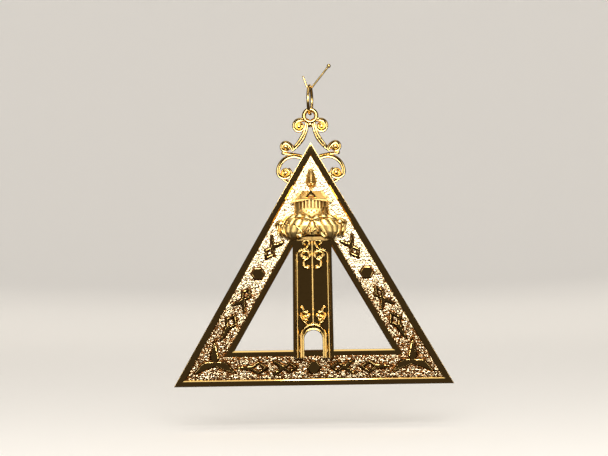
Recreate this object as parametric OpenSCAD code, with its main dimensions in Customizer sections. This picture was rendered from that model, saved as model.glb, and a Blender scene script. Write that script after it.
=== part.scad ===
// A gilt collar jewel: a triangular plate with a matted ground and raised ornaments, a tower
// applied to its front, a scrolled hanger on its apex, a jump ring, and the wire that it hangs from.
// X runs to the right, the front faces -Y, and the origin is the bend of the hanging wire.

/* [Plate] */
// Length of each side of the triangle
side_len = 76; // [68:0.5:84]
// Thickness of the plate at its rims
plate_t = 2.2; // [1.8:0.1:3]
// Width of each bar, from the outer edge to the window
bar_w = 9.6; // [9.2:0.1:10.4]
// Width of the polished outer rim
rim_w = 1.8; // [1.4:0.1:2.1]
// Width of the polished rim round the window
window_rim_w = 1.6; // [1.3:0.1:1.9]
// Depth of the matted ground below the rims
ground_depth = 0.45; // [0.3:0.05:0.8]
// Width of the bevels along the rims
bevel_w = 0.4; // [0.2:0.05:0.6]
// How far the middle of the plate lies behind the hanging line, so that the jewel hangs plumb
set_back = 0.5; // [0.2:0.1:0.9]

/* [Ornaments on the ground] */
// Height of the ornaments above the ground
relief_h = 0.5; // [0.3:0.05:0.8]
// Width of the six-sided boss at the middle of each side
boss_w = 3.7; // [3:0.1:4.2]
// Length of a small open diamond
small_len = 4; // [3.4:0.1:4.4]
// Width of a small open diamond
small_w = 2.7; // [2.2:0.1:3.2]
// Length of a large open diamond
large_len = 5; // [4.4:0.1:5.4]
// Width of a large open diamond
large_w = 3.2; // [2.6:0.1:3.6]
// Length of the tapered tail of a large diamond
tail_len = 3; // [2:0.1:3.4]
// Width of that tail at its root
tail_w = 1.1; // [0.8:0.1:1.4]
// Reach of the two prongs beyond a small diamond
prong_reach = 2.2; // [1.6:0.1:2.6]
// How far the tips of the prongs stand to either side
prong_spread = 1.7; // [1.2:0.1:1.9]
// Width of a prong at its root
prong_w = 0.8; // [0.5:0.05:1.1]
// Length of a petal of the corner flowers
petal_len = 6.3; // [5.6:0.1:6.8]
// Width of a petal
petal_w = 2.3; // [1.8:0.1:2.7]

/* [Tower shaft] */
// Width of the shaft at its foot
shaft_foot_w = 11; // [10.2:0.1:12]
// Width of the shaft under the capital
shaft_top_w = 10.5; // [9.8:0.1:11.5]
// Depth of the shaft in front of the rims
shaft_d = 3; // [2.4:0.1:3.8]
// Width of the slanted facet along each side of the shaft
facet_w = 1.15; // [0.8:0.05:1.5]
// How far the feet of the shaft reach down over the base bar
foot_lap = 2; // [1.7:0.1:2.3]
// Width of the raised ribs and scroll lines
rib_w = 0.5; // [0.35:0.05:0.7]
// Height of the raised ribs and scroll lines
rib_h = 0.35; // [0.2:0.05:0.5]
// Distance from the capital down to the start of the upper scrolls
scroll_drop = 4.1; // [3.9:0.1:5]
// Height of the lower scrolls' heads above the doorway's moulding
scroll_lift = 4.3; // [4.1:0.1:5]
// Width of the doorway
door_w = 4.9; // [4.2:0.1:5.2]
// Height of the doorway's straight jambs above the feet
door_jamb_h = 5; // [4:0.1:6]
// Width of the moulding round the doorway
door_band_w = 1.15; // [0.8:0.05:1.3]

/* [Tower capital] */
// Width of the leafy capital
capital_w = 19.8; // [17:0.1:22]
// Height of the capital
capital_h = 6.7; // [5.8:0.1:7.6]
// Depth of the capital in front of the rims
capital_d = 4.6; // [3.8:0.1:5.4]
// Distance from the window's apex down to the top of the capital
capital_drop = 0.7; // [0.3:0.1:1.5]
// Diameter of the curled leaf tips along the capital's top
curl_d = 1.5; // [1.1:0.1:1.8]

/* [Lantern and flame] */
// Width of the drum
drum_w = 9.4; // [8.6:0.1:10.4]
// Height of the drum
drum_h = 4.6; // [4:0.1:5.4]
// Depth of the drum in front of the rims
drum_d = 3.2; // [2.8:0.1:4]
// Diameter of the drum's upright ribs
drum_rib_d = 0.7; // [0.5:0.05:0.85]
// Width of the roof at its eaves
roof_w = 11.7; // [10.8:0.1:12.6]
// Height of the roof, from its eaves to its ridge
roof_h = 3.15; // [2.6:0.05:3.8]
// Depth of the roof in front of the rims
roof_d = 4.1; // [3.6:0.1:4.8]
// Length of the roof's ridge
ridge_len = 6.2; // [5:0.1:7.4]
// Width of the small gable on the roof
gable_w = 2.5; // [2:0.1:3]
// Height of the flame
flame_h = 5.3; // [4.6:0.1:5.8]
// Width of the flame
flame_w = 2.9; // [2.4:0.1:3.2]

/* [Scrolled hanger] */
// Thickness of the hanger, front to back
hanger_t = 1.8; // [1.5:0.1:2.2]
// Width of the hanger's scrolled strips
strip_w = 1.05; // [0.9:0.05:1.3]
// Height of the loop's centre above the plate's apex
loop_rise = 7.2; // [6.8:0.1:7.8]
// Inside diameter of the loop
loop_bore = 2.16; // [2:0.02:2.4]
// Thickness of the loop's round wire
loop_wire_d = 1.2; // [1:0.05:1.5]

/* [Jump ring and hanging wire] */
// Thickness of the jump ring's wire
ring_wire_d = 0.85; // [0.7:0.05:1]
// Diameter of the jump ring along the middle of its wire
ring_mid_d = 7.66; // [7.2:0.02:9]
// Width of the cut where the ring is closed
ring_cut = 0.1; // [0.06:0.02:0.2]
// Height of the cut above the ring's front, in degrees
ring_cut_deg = 26; // [10:1:45]
// Turn of the ring and the hanging wire about the vertical, in degrees
ring_turn = -8; // [-15:1:0]
// Thickness of the hanging wire
hook_d = 0.52; // [0.4:0.02:0.6]
// Radius of the hanging wire's bend, along its middle
hook_bend_r = 0.85; // [0.8:0.01:1]
// Height of the short end of the hanging wire
stub_rise = 3.4; // [2.6:0.1:4]
// Sideways reach of the short end
stub_reach = 1.8; // [1.5:0.1:2.2]
// Height of the ball on the long end
ball_rise = 6; // [5:0.1:7]
// Sideways reach of the ball
ball_reach = 5.3; // [4.6:0.1:6]
// Diameter of the ball
ball_d = 1.1; // [0.8:0.05:1.4]
// Running play between loop, ring and hanging wire
play = 0.1; // [0.08:0.01:0.14]

/* [Hidden] */
gold = "gold";
pale_gold = "khaki";
wire_gold = "goldenrod";

// A hair gap between the castings that are fixed to each other
seam = 0.05;
// How far raised parts reach into what carries them, and cuts reach beyond what they cut
root = 0.2;
over = 1;
half_side = side_len / 2;
in_radius = side_len / (2 * sqrt(3));
apex_z = side_len * sqrt(3) / 2;
window_apex_z = apex_z - 2 * bar_w;
ground_apex_z = apex_z - 2 * rim_w;

// Depths, from the front: rims, then the matted ground, then the back
plate_back_y = set_back + plate_t / 2;
rim_y = plate_back_y - plate_t;
ground_y = rim_y + ground_depth;
tower_back_y = rim_y - seam;

// Heights of the links, each above the plate's lower edge
loop_z = apex_z + loop_rise;
ring_low_z = loop_z + loop_bore / 2 - play - ring_wire_d / 2;
ring_high_z = ring_low_z + ring_mid_d;
ring_mid_z = (ring_low_z + ring_high_z) / 2;
hook_z = ring_high_z - ring_wire_d / 2 - play - hook_d / 2;

// Heights of the tower's parts, each above the plate's lower edge
foot_z = bar_w - foot_lap;
capital_top_z = window_apex_z - capital_drop;
capital_low_z = capital_top_z - capital_h;
drum_top_z = capital_top_z + drum_h;
eave_z = drum_top_z - drum_h * 0.22;
ridge_z = eave_z + roof_h;
neck_h = flame_h * 0.17;
flame_z = ridge_z + neck_h;
shaft_face_y = tower_back_y - shaft_d;

// How far the moulding's round top stands above the doorway's
arch_lift = 0.6;

// Places of the diamonds along a side, as shares of half its length, and shares of their holes
small_share = 0.171;
large_share = 0.395;
small_hole = 0.4;
large_hole = 0.46;
ground_w = bar_w - rim_w - window_rim_w;
pattern_v = rim_w + ground_w / 2;
flower_v = 6.45;

function lerp(a, b, t) = a + (b - a) * t;
function unit(v) = v / norm(v);

// Direction of a path at its point i
function heading(p, i) = unit(p[min(i + 1, len(p) - 1)] - p[max(i - 1, 0)]);
function beside(p, i, w) = let (h = heading(p, i)) p[i] + w * [-h[1], h[0]];

// Outline of a strip along path p whose half-width goes from w0 to w1
function strip(p, w0, w1) = let (n = len(p) - 1) concat(
    [for (i = [0:n]) beside(p, i, lerp(w0, w1, i / n))],
    [for (i = [n:-1:0]) beside(p, i, -lerp(w0, w1, i / n))]);

// Smooth curve from a to d that leaves towards b and arrives from c
function bend(a, b, c, d, n = 10) = [for (k = [0:n]) let (t = k / n, s = 1 - t)
    s * s * s * a + 3 * s * s * t * b + 3 * s * t * t * c + t * t * t * d];

// A path that runs on smoothly from point p in direction h, in rows of [radius, turn]. A turn is in
// degrees, to the left where it is positive. A row with radius 0 is straight, and its second value
// is its length.
function dir(a) = [cos(a), sin(a)];
function centre(s, row) = s[0] + sign(row[1]) * row[0] * dir(s[1] + 90);
function at_turn(s, row, t) = row[0] == 0 ? s[0] + t * row[1] * dir(s[1])
    : centre(s, row) + row[0] * dir(s[1] - sign(row[1]) * 90 + t * row[1]);
function after(s, row) = [at_turn(s, row, 1), s[1] + (row[0] == 0 ? 0 : row[1])];
function states(s, rows, i = 0) = i == len(rows) ? [s]
    : concat([s], states(after(s, rows[i]), rows, i + 1));
function walk(p, h, rows) = let (st = states([p, h], rows)) concat([p],
    [for (i = [0:len(rows) - 1]) let (n = rows[i][0] == 0 ? 1 : ceil(abs(rows[i][1]) / 15))
        for (k = [1:n]) at_turn(st[i], rows[i], k / n)]);

// Centre of the last turn of such a path
function eye(p, h, rows) = let (n = len(rows) - 1) centre(states([p, h], rows)[n], rows[n]);

// The triangle that lies inset from the outer edge, about its middle
function triangle(inset) = let (r = in_radius - inset)
    [[-sqrt(3) * r, -r], [sqrt(3) * r, -r], [0, 2 * r]];

// Moves a drawing with its zero at the plate's lower edge to its place under the hanging wire
module hung() translate([0, 0, -hook_z]) children();

// Stands a flat drawing up, with its back at y and t of thickness towards the front
module slab(y, t) translate([0, y, 0]) rotate([90, 0, 0]) linear_extrude(t) children();

module mirror_pair() {
    children();
    mirror([1, 0, 0]) children();
}

// A triangular slab that widens towards the front, from inset a to inset b
module flared_triangle(y, t, a, b) translate([0, y, in_radius]) rotate([90, 0, 0])
    linear_extrude(t, scale = (in_radius - b) / (in_radius - a)) polygon(triangle(a));

module flat_triangle(inset) translate([0, in_radius]) polygon(triangle(inset));

// Stack of rings with the same number of points, closed at both ends
module loft(rings) {
    n = len(rings[0]);
    m = len(rings);
    side = [for (i = [0:m - 2], j = [0:n - 1]) let (a = i * n + j, b = i * n + (j + 1) % n)
        each [[a, a + n, b], [b, a + n, b + n]]];
    polyhedron([for (r = rings) each r], concat([[for (j = [0:n - 1]) j]], side,
        [[for (j = [n - 1:-1:0]) (m - 1) * n + j]]));
}

// Ornaments of one side, drawn with x along the side and y inwards from the outer edge

module diamond(len, w) polygon([[-len / 2, 0], [0, -w / 2], [len / 2, 0], [0, w / 2]]);

module open_diamond(len, w, hole) difference() {
    diamond(len, w);
    diamond(len * hole, w * hole);
}

module small_ornament() {
    tip = small_len / 2;
    open_diamond(small_len, small_w, small_hole);
    for (s = [-1, 1])
        polygon(strip(bend([tip - prong_w * 0.6, 0], [tip + prong_reach * 0.18, 0],
            [tip + prong_reach * 0.4, s * prong_spread * 0.76], [tip + prong_reach, s * prong_spread], 6),
            prong_w / 2, prong_w * 0.15));
}

module large_ornament() {
    tip = large_len / 2;
    open_diamond(large_len, large_w, large_hole);
    polygon(strip([[tip - tail_w / 2, 0], [tip + tail_len / 2, 0], [tip + tail_len, 0]],
        tail_w / 2, tail_w * 0.1));
}

module boss() circle(d = boss_w, $fn = 6);

// Half of a side's ornaments, towards the corner at +x
module half_pattern(with_large) {
    translate([half_side * small_share, pattern_v]) small_ornament();
    if (with_large) translate([half_side * large_share, pattern_v]) large_ornament();
}

module base_pattern() {
    translate([0, pattern_v]) boss();
    mirror_pair() half_pattern(true);
}

// The upper half of a slanted side has no large diamond, because the tower stands there
module slanted_pattern() {
    translate([0, pattern_v]) boss();
    half_pattern(false);
    mirror([1, 0]) half_pattern(true);
}

// Outlines of the corner flower: shares of the petals' length and width, from the flower's middle
upright_petal = [[0, 0], [0.52, 0.02], [1, 0.18], [0.96, 0.3], [0.8, 0.42], [0.48, 0.68], [0, 1]];
side_petal = [[0, 0.1], [0.22, 0.16], [0.44, 0.1], [0.58, -0.18], [0.93, -1.3], [0.78, -1.28],
    [0.56, -1], [0.26, -0.7], [0, -0.45]];

// One upright petal, and two that droop to the sides
module corner_flower() translate([half_side - flower_v * sqrt(3), flower_v]) {
    mirror_pair() polygon([for (p = upright_petal) [p[0] * petal_w / 2, p[1] * petal_len]]);
    mirror_pair() polygon([for (p = side_petal) [p[0] * petal_len, p[1] * petal_w]]);
}

module ornaments() {
    base_pattern();
    for (a = [0, 1]) mirror([a, 0])
        translate([0, in_radius]) rotate(120) translate([0, -in_radius]) slanted_pattern();
    mirror_pair() corner_flower();
}

module plate() color(gold) hung() {
    difference() {
        slab(plate_back_y, plate_t) flat_triangle(0);
        slab(plate_back_y + over, plate_t + 2 * over) flat_triangle(bar_w);
        difference() {
            flared_triangle(ground_y, ground_depth, rim_w, rim_w - bevel_w);
            slab(ground_y + over, plate_t + 2 * over) flat_triangle(bar_w - window_rim_w);
        }
        flared_triangle(rim_y + bevel_w, bevel_w, bar_w, bar_w - bevel_w);
    }
    slab(ground_y + root, relief_h + root) ornaments();
}

// Half-octagonal section of the shaft at height z with width w
function shaft_ring(z, w) = [[-w / 2, tower_back_y, z], [-w / 2, shaft_face_y + facet_w, z],
    [-w / 2 + facet_w, shaft_face_y, z], [w / 2 - facet_w, shaft_face_y, z],
    [w / 2, shaft_face_y + facet_w, z], [w / 2, tower_back_y, z]];

// Rounded arch with straight jambs from the feet up
module arch(w, jamb) {
    translate([-w / 2, foot_z]) square([w, jamb]);
    translate([0, foot_z + jamb]) circle(d = w, $fn = 40);
}

// Height of a point at share t of the shaft, and half its front face there
function shaft_z(t) = lerp(foot_z, capital_low_z, t);
function face_half(t) = lerp(shaft_foot_w, shaft_top_w, t) / 2 - facet_w;

// Raised line up one side of the front, which ends in a scroll under the capital
scroll_z = capital_low_z - scroll_drop;
function side_line() = concat([[face_half(0), foot_z]],
    walk([face_half(0.87), scroll_z], 90, [[1.47, 75], [0, 0.7], [2.4, -50], [0.88, -180], [0.38, -95]]));

// Scroll beside the line, and the two strands of the scroll over the doorway
function mid_scroll() = walk([2.18, scroll_z - 0.7], 0,
    [[0.67, 70], [1.11, 275], [1.1, -75], [0, 0.6], [0.55, -160]]);
arch_top_z = foot_z + door_jamb_h + arch_lift + door_w / 2 + door_band_w;
function low_scroll() = walk([3, arch_top_z + scroll_lift], 245,
    [[0, 0.7], [0.94, -55], [1.02, 150], [0.48, 200]]);
function low_arc() = walk([2.53, arch_top_z + scroll_lift - 0.95], -35,
    [[1.66, -80], [2.1, -35], [0, 0.3]]);

module shaft_relief() {
    mirror_pair() for (p = [side_line(), mid_scroll(), low_scroll(), low_arc()])
        polygon(strip(p, rib_w / 2, rib_w / 2));
    translate([-rib_w / 2, arch_top_z - root]) square([rib_w, capital_low_z - arch_top_z + 2 * root]);
}

module shaft() {
    difference() {
        union() {
            loft([shaft_ring(foot_z, shaft_foot_w), shaft_ring(capital_low_z + over, shaft_top_w)]);
            slab(shaft_face_y + root, rib_h + root) shaft_relief();
            slab(shaft_face_y + root, rib_h * 1.15 + root)
                arch(door_w + 2 * door_band_w, door_jamb_h + arch_lift);
        }
        slab(tower_back_y + over, shaft_d + rib_h + 3 * over)
            translate([0, -over]) arch(door_w, door_jamb_h + over);
    }
}

// Half-round section with a flat back, with n lobes of depth lobe round its front
function round_ring(z, w, d, n = 0, lobe = 0) = [for (k = [0:36]) let (a = 180 + 5 * k,
    s = 1 + lobe * (abs(cos(n * a / 2)) - 0.5)) [w / 2 * s * cos(a), tower_back_y + d * s * sin(a), z]];

// Sections of the capital: share of its height, of its width and of its depth, and lobe depth
capital_rows = [[0, 0.64, 0.74, 0], [0.06, 0.84, 0.85, 0.03], [0.15, 0.93, 0.92, 0.05],
    [0.38, 0.95, 0.96, 0.08], [0.62, 0.96, 1, 0.08], [0.8, 0.84, 0.92, 0.06], [1, 0.7, 0.78, 0.02]];

// Leaves of the capital, in shares of its width: middle, width, lean to the right
leaves = [[-0.43, 0.172, 0.015], [-0.22, 0.354, 0.01], [0.05, 0.182, -0.025], [0.23, 0.333, -0.015],
    [0.43, 0.162, -0.01]];

// Middles of the curled leaf tips, in shares of its width
curls = [-0.25, -0.15, -0.05, 0.12, 0.21, 0.3];

// Sections of a leaf: share of the capital's height, share of the leaf's width, and how far it
// stands proud as a share of the curl's diameter
leaf_rows = [[0.08, 0.2, 0], [0.25, 0.62, 0.2], [0.5, 0.9, 0.35], [0.75, 1, 0.3], [0.9, 0.8, 0.55],
    [0.97, 0.6, 0.3]];

// Depth of the capital at share x of its width from the middle
function capital_depth(x) = capital_d * sqrt(1 - 3.4 * x * x);

module leaf(x, w, lean) loft([for (r = leaf_rows) [for (p = round_ring(capital_low_z + r[0] * capital_h,
    w * r[1] * capital_w, capital_depth(x) + curl_d * r[2])) p + [(x + lean * r[0]) * capital_w, 0, 0]]]);

// A round tip on a neck that runs back into the capital
module curl() {
    sphere(d = curl_d, $fn = 24);
    rotate([-90, 0, 0]) cylinder(d = curl_d * 0.8, h = capital_d * 0.4, $fn = 16);
}

module capital() {
    loft([for (r = capital_rows) round_ring(capital_low_z + r[0] * capital_h,
        r[1] * capital_w, r[2] * capital_d, 12, r[3])]);
    for (k = leaves) leaf(k[0], k[1], k[2]);
    for (x = curls) translate([x * capital_w, tower_back_y - capital_depth(x) - curl_d * 0.1,
        capital_top_z - curl_d * 0.45]) curl();
}

// Sections of the drum: share of its height and of its width
drum_rows = [[0, 1.12], [0.12, 1.02], [0.2, 1], [1, 1]];

module drum() {
    loft([for (r = drum_rows) round_ring(capital_top_z - root + r[0] * (drum_h + root),
        r[1] * drum_w, r[1] * drum_d)]);
    for (a = [-84:21:84]) translate([drum_w / 2 * sin(a), tower_back_y - drum_d * cos(a),
        capital_top_z + drum_h * 0.2]) cylinder(d = drum_rib_d, h = drum_h * 0.8, $fn = 16);
}

// Four-cornered section of the roof at height z
function roof_ring(z, w, d) = [[-w / 2, tower_back_y, z], [-w / 2 * 0.8, tower_back_y - d, z],
    [w / 2 * 0.8, tower_back_y - d, z], [w / 2, tower_back_y, z]];

// Sections of the roof: share of its height, share of the way from eaves to ridge, share of its depth
roof_rows = [[0, 0, 1], [0.1, 0.04, 1], [0.45, 0.4, 0.82], [1, 1, 0.45]];

module roof() {
    loft([for (r = roof_rows) roof_ring(eave_z + r[0] * roof_h, lerp(roof_w, ridge_len, r[1]),
        roof_d * r[2])]);
    translate([0, 0, eave_z + roof_h * 0.38]) slab(tower_back_y, roof_d)
        polygon([[-gable_w / 2, 0], [gable_w / 2, 0], [0, roof_h * 0.51]]);
}

// Profile of the flame: share of its height and of its width
flame_rows = [[0, 0.2], [0.12, 0.6], [0.25, 0.9], [0.37, 1], [0.5, 0.92], [0.68, 0.62],
    [0.85, 0.26], [1, 0.05]];

// The flame stands on a short neck with a bead, and is cut flat at the back
module flame() intersection() {
    translate([0, tower_back_y - flame_w * 0.3, 0]) {
        translate([0, 0, flame_z]) rotate_extrude($fn = 32)
            polygon(concat([[0, 0]], [for (r = flame_rows) [r[1] * flame_w / 2, r[0] * flame_h]],
                [[0, flame_h]]));
        translate([0, 0, flame_z - root]) sphere(d = flame_w * 0.38, $fn = 24);
        translate([0, 0, ridge_z - neck_h]) cylinder(d = flame_w * 0.24, h = 2 * neck_h, $fn = 20);
    }
    slab(tower_back_y, flame_w * 2) translate([-flame_w, ridge_z - 2 * neck_h])
        square([flame_w * 2, flame_h * 2]);
}

module tower() color(pale_gold) hung() {
    shaft();
    capital();
    drum();
    roof();
    flame();
}

// Strands of the right half of the hanger: start, direction, turns. Their lengths are shares of the
// loop's height, from the plate's apex.
stem = [[0.125, 0.736], -85, [[1.347, 20], [1.458, 25], [1.167, 6]]];
top_curl = [[0.049, 0.796], 25, [[0.639, -35], [0.208, -130], [0.16, -150]]];
mid_curl = [[0.661, -0.264], 75, [[0.389, -50], [0.15, -210]]];
side_scroll = [[0.333, -0.583], 20, [[0, 0.111], [0.597, -105], [0.244, -135], [0.167, -110]]];

// The cross bar between the scrolls, and the foot on the plate's edge, in the same shares
cross_bar = [[0.333, -0.5], [0.694, -0.431], [1.014, -0.389]];
end_blob = [0.722, -1.222];
end_foot = [[0.708, -1.514], [0.875, -1.472], [1.056, -1.361]];

// Collar under the loop, in shares of the loop's wire
collar = [[-1.58, -0.75], [1.58, -0.75], [1.25, 0.5], [0.5, 0.125], [-0.5, 0.125], [-1.25, 0.5]];

module hanger_half() {
    for (s = [stem, top_curl, mid_curl, side_scroll])
        polygon(strip(loop_rise * walk(s[0], s[1], s[2]), strip_w / 2, strip_w / 2));
    for (s = [top_curl, mid_curl, side_scroll])
        translate(loop_rise * eye(s[0], s[1], s[2])) circle(d = strip_w * 1.6, $fn = 24);
    polygon(strip(loop_rise * cross_bar, strip_w * 0.43, strip_w * 0.43));
    translate(loop_rise * end_blob) circle(d = strip_w * 1.8, $fn = 24);
    polygon(strip(loop_rise * end_foot, strip_w * 0.38, strip_w * 0.48));
}

// The apex of the plate with its seam all round, which the hanger sits astride
module hanger_seat() flat_triangle(-seam);

module scroll_hanger() color(gold) hung() {
    difference() {
        slab(hanger_t / 2, hanger_t) translate([0, apex_z]) mirror_pair() hanger_half();
        slab(plate_back_y + over, plate_t + 2 * over) hanger_seat();
    }
    translate([0, 0, loop_z]) rotate([90, 0, 0]) rotate_extrude($fn = 64)
        translate([loop_bore / 2 + loop_wire_d / 2, 0]) circle(d = loop_wire_d, $fn = 32);
    slab(hanger_t / 2, hanger_t) translate([0, loop_z - loop_bore / 2 - loop_wire_d])
        polygon(loop_wire_d * collar);
}

module jump_ring() color(wire_gold) hung() translate([0, 0, ring_mid_z])
    rotate([0, 0, ring_turn]) rotate([0, 90, 0]) difference() {
        rotate_extrude($fn = 96) translate([ring_mid_d / 2, 0]) circle(d = ring_wire_d, $fn = 32);
        rotate([0, 0, 270 - ring_cut_deg]) translate([0, -ring_cut / 2, -ring_wire_d])
            cube([ring_mid_d, ring_cut, ring_wire_d * 2]);
    }

// Angle on the bend where the straight wire to point p leaves it
function leave_angle(p, side) = let (v = p - [0, hook_bend_r])
    atan2(v[1], v[0]) + side * acos(hook_bend_r / norm(v));
function on_bend(a) = [hook_bend_r * cos(a), hook_bend_r * (1 + sin(a))];

// Middle of the hanging wire in the XZ plane, from its short end round the bend to the ball
function hook_path() = let (stub = [-stub_reach, stub_rise], ball = [ball_reach, ball_rise],
    a0 = leave_angle(stub, 1), a1 = leave_angle(ball, -1) + 360, n = 12)
    concat([stub], [for (k = [0:n]) on_bend(lerp(a0, a1, k / n))], [ball]);

// Round section of the wire at point i of path p
function wire_ring(p, i) = let (h = heading(p, i), r = hook_d / 2) [for (a = [0:30:330])
    [p[i][0] - h[1] * r * cos(a), -r * sin(a), p[i][1] + h[0] * r * cos(a)]];

module hook_wire() color(wire_gold) rotate([0, 0, ring_turn]) {
    path = hook_path();
    loft([for (i = [0:len(path) - 1]) wire_ring(path, i)]);
    translate([ball_reach, 0, ball_rise]) sphere(d = ball_d, $fn = 32);
}

plate();
tower();
scroll_hanger();
jump_ring();
hook_wire();
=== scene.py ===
# %% [markdown]
# # A gilt collar jewel
# The real thing is a cast and gilded triangle with a tower on its front. A scrolled hanger holds it by
# its apex, a jump ring goes through the hanger's loop, and a bent wire carries the ring. Every surface
# here is worked out with numpy in millimetres and put into a mesh in metres, round the CAD frame.

# %% Load the frame and measure it
import math

import bpy
import numpy as np
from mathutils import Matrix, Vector


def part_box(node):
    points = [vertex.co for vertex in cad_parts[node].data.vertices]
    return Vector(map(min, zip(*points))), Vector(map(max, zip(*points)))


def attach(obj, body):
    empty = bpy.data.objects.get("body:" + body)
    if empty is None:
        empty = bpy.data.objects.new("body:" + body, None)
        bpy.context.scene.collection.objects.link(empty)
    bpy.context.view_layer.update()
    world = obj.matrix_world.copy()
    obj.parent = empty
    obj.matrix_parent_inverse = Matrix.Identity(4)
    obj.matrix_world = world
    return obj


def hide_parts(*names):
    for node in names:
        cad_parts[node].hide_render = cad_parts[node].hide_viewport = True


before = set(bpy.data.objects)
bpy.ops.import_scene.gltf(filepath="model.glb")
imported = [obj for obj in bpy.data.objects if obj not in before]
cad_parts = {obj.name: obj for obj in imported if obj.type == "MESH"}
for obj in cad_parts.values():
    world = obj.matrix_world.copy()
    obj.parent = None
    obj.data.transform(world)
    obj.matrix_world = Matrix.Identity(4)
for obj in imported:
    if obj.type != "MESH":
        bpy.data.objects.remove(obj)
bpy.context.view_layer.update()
scene = bpy.context.scene
MM = 0.001


def box_mm(node):
    """Lowest and highest corner of a CAD node, in millimetres."""
    low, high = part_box(node)
    return np.array(low) / MM, np.array(high) / MM


plate_low, plate_high = box_mm("plate")
tower_low, tower_high = box_mm("tower")
hanger_low, hanger_high = box_mm("scroll_hanger")
ring_low, ring_high = box_mm("jump_ring")
EDGE_Z = plate_low[2]
SIDE = plate_high[0] - plate_low[0]
IN_RADIUS = SIDE / (2 * math.sqrt(3))
APEX = SIDE * math.sqrt(3) / 2
print("side of the triangle:", round(SIDE, 2), "mm, lower edge at", round(EDGE_Z, 2), "mm")

# %% [markdown]
# ## Meshes from arrays
# A grid of points becomes a surface when each small square of neighbours gets a face. A stack of
# closed rings becomes a tube or a lump in the same way, and its two ends are closed by a fan from their
# middles. All pieces of the jewel are closed like that, as real metal is.

# %% Grids, rings and shells


def stacked(x, y, z):
    """Points from coordinates of any shapes that fit together."""
    return np.stack(np.broadcast_arrays(x, y, z), -1)


def turns(step):
    """Angles all the way round, at a step given in degrees."""
    return np.radians(np.arange(0, 360, step))


def unit(vectors):
    """The same vectors with length 1."""
    return vectors / (np.linalg.norm(vectors, axis=-1, keepdims=True) + 1e-12)


def grid_faces(rows, columns, wrap_rows=False):
    """Quads of a grid whose columns go round: each joins a point to the next one and the next row."""
    here = np.arange(rows * columns).reshape(rows, columns)
    above = np.roll(here, -1, 0)
    quads = np.stack([here, np.roll(here, -1, 1), np.roll(above, -1, 1), above], -1)
    return quads[:rows if wrap_rows else -1].reshape(-1, 4)


def outward(points, quads, fans):
    """Turns all faces round if the volume that they enclose comes out negative."""
    triangles = np.concatenate([quads[:, [0, 1, 2]], quads[:, [0, 2, 3]], fans])
    a, b, c = (points[triangles[:, k]] for k in range(3))
    way = -1 if np.einsum("ij,ij->i", a, np.cross(b, c)).sum() < 0 else 1
    return points, quads[:, ::way], fans[:, ::way]


def shell(rings):
    """Closed lump from rings of points, an array of (ring, point, xyz). A fan closes each end."""
    m, n = rings.shape[:2]
    points = np.concatenate([rings.reshape(-1, 3), [rings[0].mean(0), rings[-1].mean(0)]])
    j = np.arange(n)
    j2 = (j + 1) % n
    last = (m - 1) * n
    fans = np.concatenate([np.stack([j2, j, np.full(n, m * n)], 1),
                           np.stack([last + j, last + j2, np.full(n, m * n + 1)], 1)])
    return outward(points, grid_faces(m, n), fans)


def hoop(rings):
    """Closed band from rings of points whose last ring joins the first one again."""
    m, n = rings.shape[:2]
    return outward(rings.reshape(-1, 3), grid_faces(m, n, True), np.zeros((0, 3), int))


def mesh_object(name, points, quads, fans):
    """Blender object with these points, given in millimetres, and these faces."""
    mesh = bpy.data.meshes.new(name)
    mesh.from_pydata(points * MM, [], quads.tolist() + fans.tolist(), shade_flat=False)
    mesh.validate()
    piece = bpy.data.objects.new(name, mesh)
    scene.collection.objects.link(piece)
    return piece


def fuse(name, shells, cutters=()):
    """One body from closed shells: the others are joined to the first, then the cutters taken off."""
    body = mesh_object(name, *shells[0])
    tools = [mesh_object("tool", *lump) for lump in (*shells[1:], *cutters)]
    for k, tool in enumerate(tools, 1):
        step = body.modifiers.new("step", "BOOLEAN")
        step.operation = "UNION" if k < len(shells) else "DIFFERENCE"
        step.solver = "MANIFOLD"
        step.object = tool
    graph = bpy.context.evaluated_depsgraph_get()
    made = bpy.data.meshes.new_from_object(body.evaluated_get(graph))
    body.modifiers.clear()
    old = body.data
    body.data = made
    bpy.data.meshes.remove(old)
    made.name = name
    for tool in tools:
        bpy.data.meshes.remove(tool.data)
    return body


def vectors_of(items, key):
    """Array of (item, xyz) from the points or the normals of a mesh."""
    values = np.zeros(len(items) * 3, np.float32)
    items.foreach_get(key, values)
    return values.reshape(-1, 3)


def hollowness(mesh, rounds=3):
    """How hollow the surface is at each point, from -1 on sharp edges to 1 in deep corners.

    It is how far the middle of a point's neighbours lies in front of the point, along its normal, as
    a share of their distance. A few rounds of averaging spread it a little.
    """
    count = len(mesh.vertices)
    place = vectors_of(mesh.vertices, "co").astype(float)
    normal = vectors_of(mesh.vertex_normals, "vector")
    ends = np.zeros(len(mesh.edges) * 2, np.int32)
    mesh.edges.foreach_get("vertices", ends)
    a, b = ends.reshape(-1, 2).T

    def gather(at_a, at_b):
        """Sum at each point over the edges that meet there."""
        return np.bincount(a, at_a, count) + np.bincount(b, at_b, count)

    degree = np.maximum(gather(None, None), 1)
    way = place[b] - place[a]
    span = np.linalg.norm(way, axis=1) + 1e-9
    value = gather(np.einsum("ij,ij->i", way, normal[a]) / span,
                   np.einsum("ij,ij->i", -way, normal[b]) / span) / degree
    for _ in range(rounds):
        value = (value + gather(value[b], value[a]) / degree) / 2
    return np.clip(value * 3, -1, 1)


def mark(mesh, **marks):
    """Puts numbers for each point into the mesh under their names, for the materials to read."""
    for name, values in marks.items():
        attribute = mesh.attributes.new(name, "FLOAT", "POINT")
        attribute.data.foreach_set("value", np.ravel(values).astype(np.float32))


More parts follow.
